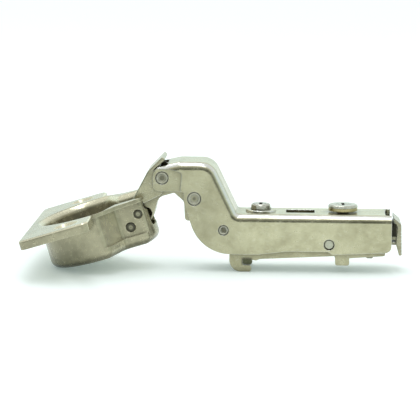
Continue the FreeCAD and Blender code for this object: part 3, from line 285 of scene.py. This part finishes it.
# Finishes: darkest and lightest colour, roughness, colour of worn edges and painted highlights, then what
# differs
ARM = plated_steel(
    "satin_nickel_arm", (0.38, 0.354, 0.224), (0.60, 0.567, 0.384), 0.22, PALE_WEAR_AND_HIGHLIGHT, corner_shade=0.7,
    # Painted highlight along the folds at the sheet's sides
    painted_highlights=((fold_mask(0.2, 0.5, 0.75, 0.88), 0.8),),
    darkened=(
        # Painted dark reflection line below the fold highlight, where the fold meets the side
        (fold_mask(0.88, 0.93, 0.965, 0.995), 0.45),
        # Darker tone over the hump and the ears
        (box_mask(HUMP, 0.009), 0.22),
        (box_mask(EARS, 0.0004), 0.10),
    ),
)
CARRIER = plated_steel(
    "satin_nickel_carrier", (0.34, 0.315, 0.195), (0.59, 0.556, 0.375), 0.24, PALE_WEAR_AND_HIGHLIGHT, corner_shade=0.8,
    # Painted shade on the carrier's top inside the arm and in the hook's mouth
    darkened=((box_mask(CARRIER_INSIDE, 0.001), 0.95), (box_mask(HOOK_MOUTH, 0.0004), 0.85)),
)
CUP = plated_steel(
    "satin_nickel_cup", (0.30, 0.278, 0.182), (0.53, 0.493, 0.335), 0.24, (0.88, 0.84, 0.62),
    metallic=0.55, corner_shade=0.4,
    # Painted highlights: lightened shoulder walls and a bright rolled rim at the mouth
    painted_highlights=((shoulder_mask, 0.6), (roll_mask(0.3, 0.5, 0.85, 0.97), 0.7)),
    darkened=(
        # Painted shade rings in the recesses round the cup's pins
        (rim_mask("hinge_cup", "cup_pin_upper", 0.0008, 0.00135), 0.75),
        (rim_mask("hinge_cup", "cup_pin_lower", 0.0008, 0.00145), 0.75),
        # Painted shade on the cup's downward-facing bottom fillet
        (roll_mask(-0.98, -0.85, -0.5, -0.2), 0.5),
        # Darker tone low down and at the front of the cup
        (box_mask(CUP_FOOT, 0.004), 0.4),
        (box_mask(CUP_FRONT, 0.006), 0.3),
    ),
)
LEVER = plated_steel(
    "satin_nickel_lever", (0.22, 0.207, 0.135), (0.44, 0.415, 0.285), 0.24, PALE_WEAR_AND_HIGHLIGHT, corner_shade=0.8,
    # Painted shade in the gap between the arm's rear end and the lever
    darkened=((box_mask(LEVER_GAP, 0.0002), 1.0),),
)
LINK = plated_steel("satin_nickel_link", (0.29, 0.272, 0.175), (0.52, 0.49, 0.335), 0.24, PALE_WEAR_AND_HIGHLIGHT, corner_shade=0.7)
TURNED = plated_steel(
    "turned_pin", (0.40, 0.397, 0.30), (0.58, 0.577, 0.47), 0.3, PALE_WEAR_AND_HIGHLIGHT, grain=0.2, corner_shade=0.2,
)
SCREW = plated_steel(
    "bright_screw", (0.40, 0.395, 0.33), (0.60, 0.595, 0.51), 0.24, (0.85, 0.85, 0.8), grain=0.2, corner_shade=0.8,
)
YELLOW = plated_steel("yellow_washer", (0.42, 0.36, 0.17), (0.58, 0.51, 0.28), 0.28, (0.8, 0.74, 0.5))
WIRE = plated_steel("dark_spring_wire", (0.12, 0.12, 0.12), (0.2, 0.2, 0.19), 0.35, (0.35, 0.35, 0.34))

FINISHES = {
    "hinge_cup": CUP,
    "cranked_arm": ARM,
    "clip_carrier": CARRIER,
    "release_lever": LEVER,
    "outer_link": LINK,
    "inner_link": LINK,
    "cup_pin_upper": pin_with_painted_shade("upper_pin_end", "cup_pin_upper", 0.0002, 0.0006),
    "cup_pin_lower": pin_with_painted_shade("lower_pin_end", "cup_pin_lower", 0.0002, 0.0006),
    "front_rivet": pin_with_painted_shade("front_rivet_head", "front_rivet", 0.0008, 0.0018),
    "middle_rivet": pin_with_painted_shade("middle_rivet_head", "middle_rivet", 0.0005, 0.0019),
    "spring_rivet": pin_with_painted_shade("spring_rivet_head", "spring_rivet", 0.0008, 0.0014),
    "rear_guide_pin": TURNED,
    "lever_pivot_pin": TURNED,
    "depth_cam": SCREW,
    "side_adjustment_screw": SCREW,
    "screw_retaining_ring": SCREW,
    "cam_washer": YELLOW,
    "closing_spring": WIRE,
    "lever_spring": WIRE,
    "spring_shoe": moulded_plastic("dark_shoe", (0.03, 0.03, 0.03), 0.5),
}
for node, material in FINISHES.items():
    mesh = nodes[node].data
    mesh.materials.clear()
    mesh.materials.append(material)


def make_floor():
    """White table top, larger than the view and a hair below the hinge."""
    reach = 6.0
    drop = 0.00002
    corners = [(x * reach, y * reach, -drop) for x, y in ((-1, -1), (1, -1), (1, 1), (-1, 1))]
    mesh = bpy.data.meshes.new("table_top")
    mesh.from_pydata(corners, [], [(0, 1, 2, 3)])
    table = bpy.data.objects.new("table_top", mesh)
    bpy.context.scene.collection.objects.link(table)
    graph = material_graph("white_table")
    grain = graph.noise(300.0, 3.0)
    colour = graph.mix(grain, (0.905, 0.925, 0.92), (0.925, 0.945, 0.94))
    bump = graph.add("ShaderNodeBump", Strength=0.02, Distance=0.0001, Height=grain)
    shader = graph.add("ShaderNodeBsdfPrincipled", Roughness=0.6)
    graph.set(shader, "Base Color", colour)
    graph.set(shader, "Normal", bump.outputs["Normal"])
    # The lit backdrop's glow on the table, for the eye and for its mirror image in the metal
    path = graph.add("ShaderNodeLightPath").outputs
    seen = graph.math("MAXIMUM", path["Is Camera Ray"], path["Is Glossy Ray"])
    glow = graph.add("ShaderNodeEmission", Color=(0.80, 1.0, 0.93, 1.0), Strength=graph.multiply(seen, 0.22))
    both = graph.add("ShaderNodeAddShader")
    graph.set(both, 0, shader.outputs["BSDF"])
    graph.set(both, 1, glow.outputs["Emission"])
    mesh.materials.append(graph.finish(both.outputs["Shader"]))


def make_world():
    """Soft white studio, dark low down in front where the room is; plain white to the camera."""
    graph = Graph(bpy.data.worlds.new("studio"), "ShaderNodeOutputWorld")
    way = graph.parts("Generated")

    def slope(axis, low, high, new_low, new_high):
        return graph.span(way[axis], low, high, new_low, new_high, smooth=True)

    room = graph.multiply(slope("Y", -0.75, -0.1, 1.0, 0.0), slope("Z", 0.22, 0.5, 1.0, 0.0))
    room = graph.multiply(room, slope("X", 0.3, 0.55, 1.0, 0.0))
    tone = graph.math("SUBTRACT", 1.0, graph.multiply(room, 0.92))
    tone = graph.multiply(tone, slope("Z", 0.1, 0.9, 0.98, 0.9))
    tone = graph.multiply(tone, slope("Y", 0.4, 0.9, 1.0, 1.25))
    tint = graph.mix(slope("Z", 0.25, 0.65, 0.0, 1.0), (0.86, 1.0, 0.955), (0.965, 0.985, 0.97))
    soft = graph.add("ShaderNodeBackground", Color=tint, Strength=graph.multiply(tone, 0.95))
    white = graph.add("ShaderNodeBackground", Color=(1.0, 1.0, 1.0, 1.0))
    chosen = graph.add("ShaderNodeMixShader")
    graph.set(chosen, 0, graph.add("ShaderNodeLightPath").outputs["Is Camera Ray"])
    graph.set(chosen, 1, soft.outputs["Background"])
    graph.set(chosen, 2, white.outputs["Background"])
    bpy.context.scene.world = graph.finish(chosen.outputs["Shader"])


def make_strip_light():
    """Long soft lamp over the hinge, which draws the bright line on the folds."""
    light = bpy.data.lights.new("top_strip", "AREA")
    light.shape = "RECTANGLE"
    light.size = 1.1
    light.size_y = 0.14
    light.energy = 2.2
    light.color = (0.9, 0.94, 1.0)
    lamp = bpy.data.objects.new("top_strip", light)
    lamp.location = (-0.05, -0.02, 0.7)
    lamp.rotation_euler = (-lamp.location).to_track_quat("-Z", "Y").to_euler()
    bpy.context.scene.collection.objects.link(lamp)


def make_camera():
    yaw, pitch, roll = (math.radians(angle) for angle in (YAW, PITCH, ROLL))
    ahead = Vector((-math.sin(yaw) * math.cos(pitch), math.cos(yaw) * math.cos(pitch), -math.sin(pitch)))
    level = Vector((math.cos(yaw), math.sin(yaw), 0.0))
    above = level.cross(ahead)
    right = level * math.cos(roll) + above * math.sin(roll)
    up = above * math.cos(roll) - level * math.sin(roll)
    turn = Matrix((right, up, -ahead)).transposed()
    lens = bpy.data.cameras.new("camera")
    lens.sensor_width = SENSOR
    lens.lens = FOCAL / PICTURE * SENSOR
    lens.clip_start = 0.01
    camera = bpy.data.objects.new("camera", lens)
    camera.matrix_world = Matrix.Translation(TARGET - ahead * DISTANCE) @ turn.to_4x4()
    bpy.context.scene.collection.objects.link(camera)
    bpy.context.scene.camera = camera


make_floor()
make_world()
make_strip_light()
make_camera()
bpy.context.scene.view_settings.view_transform = "Standard"
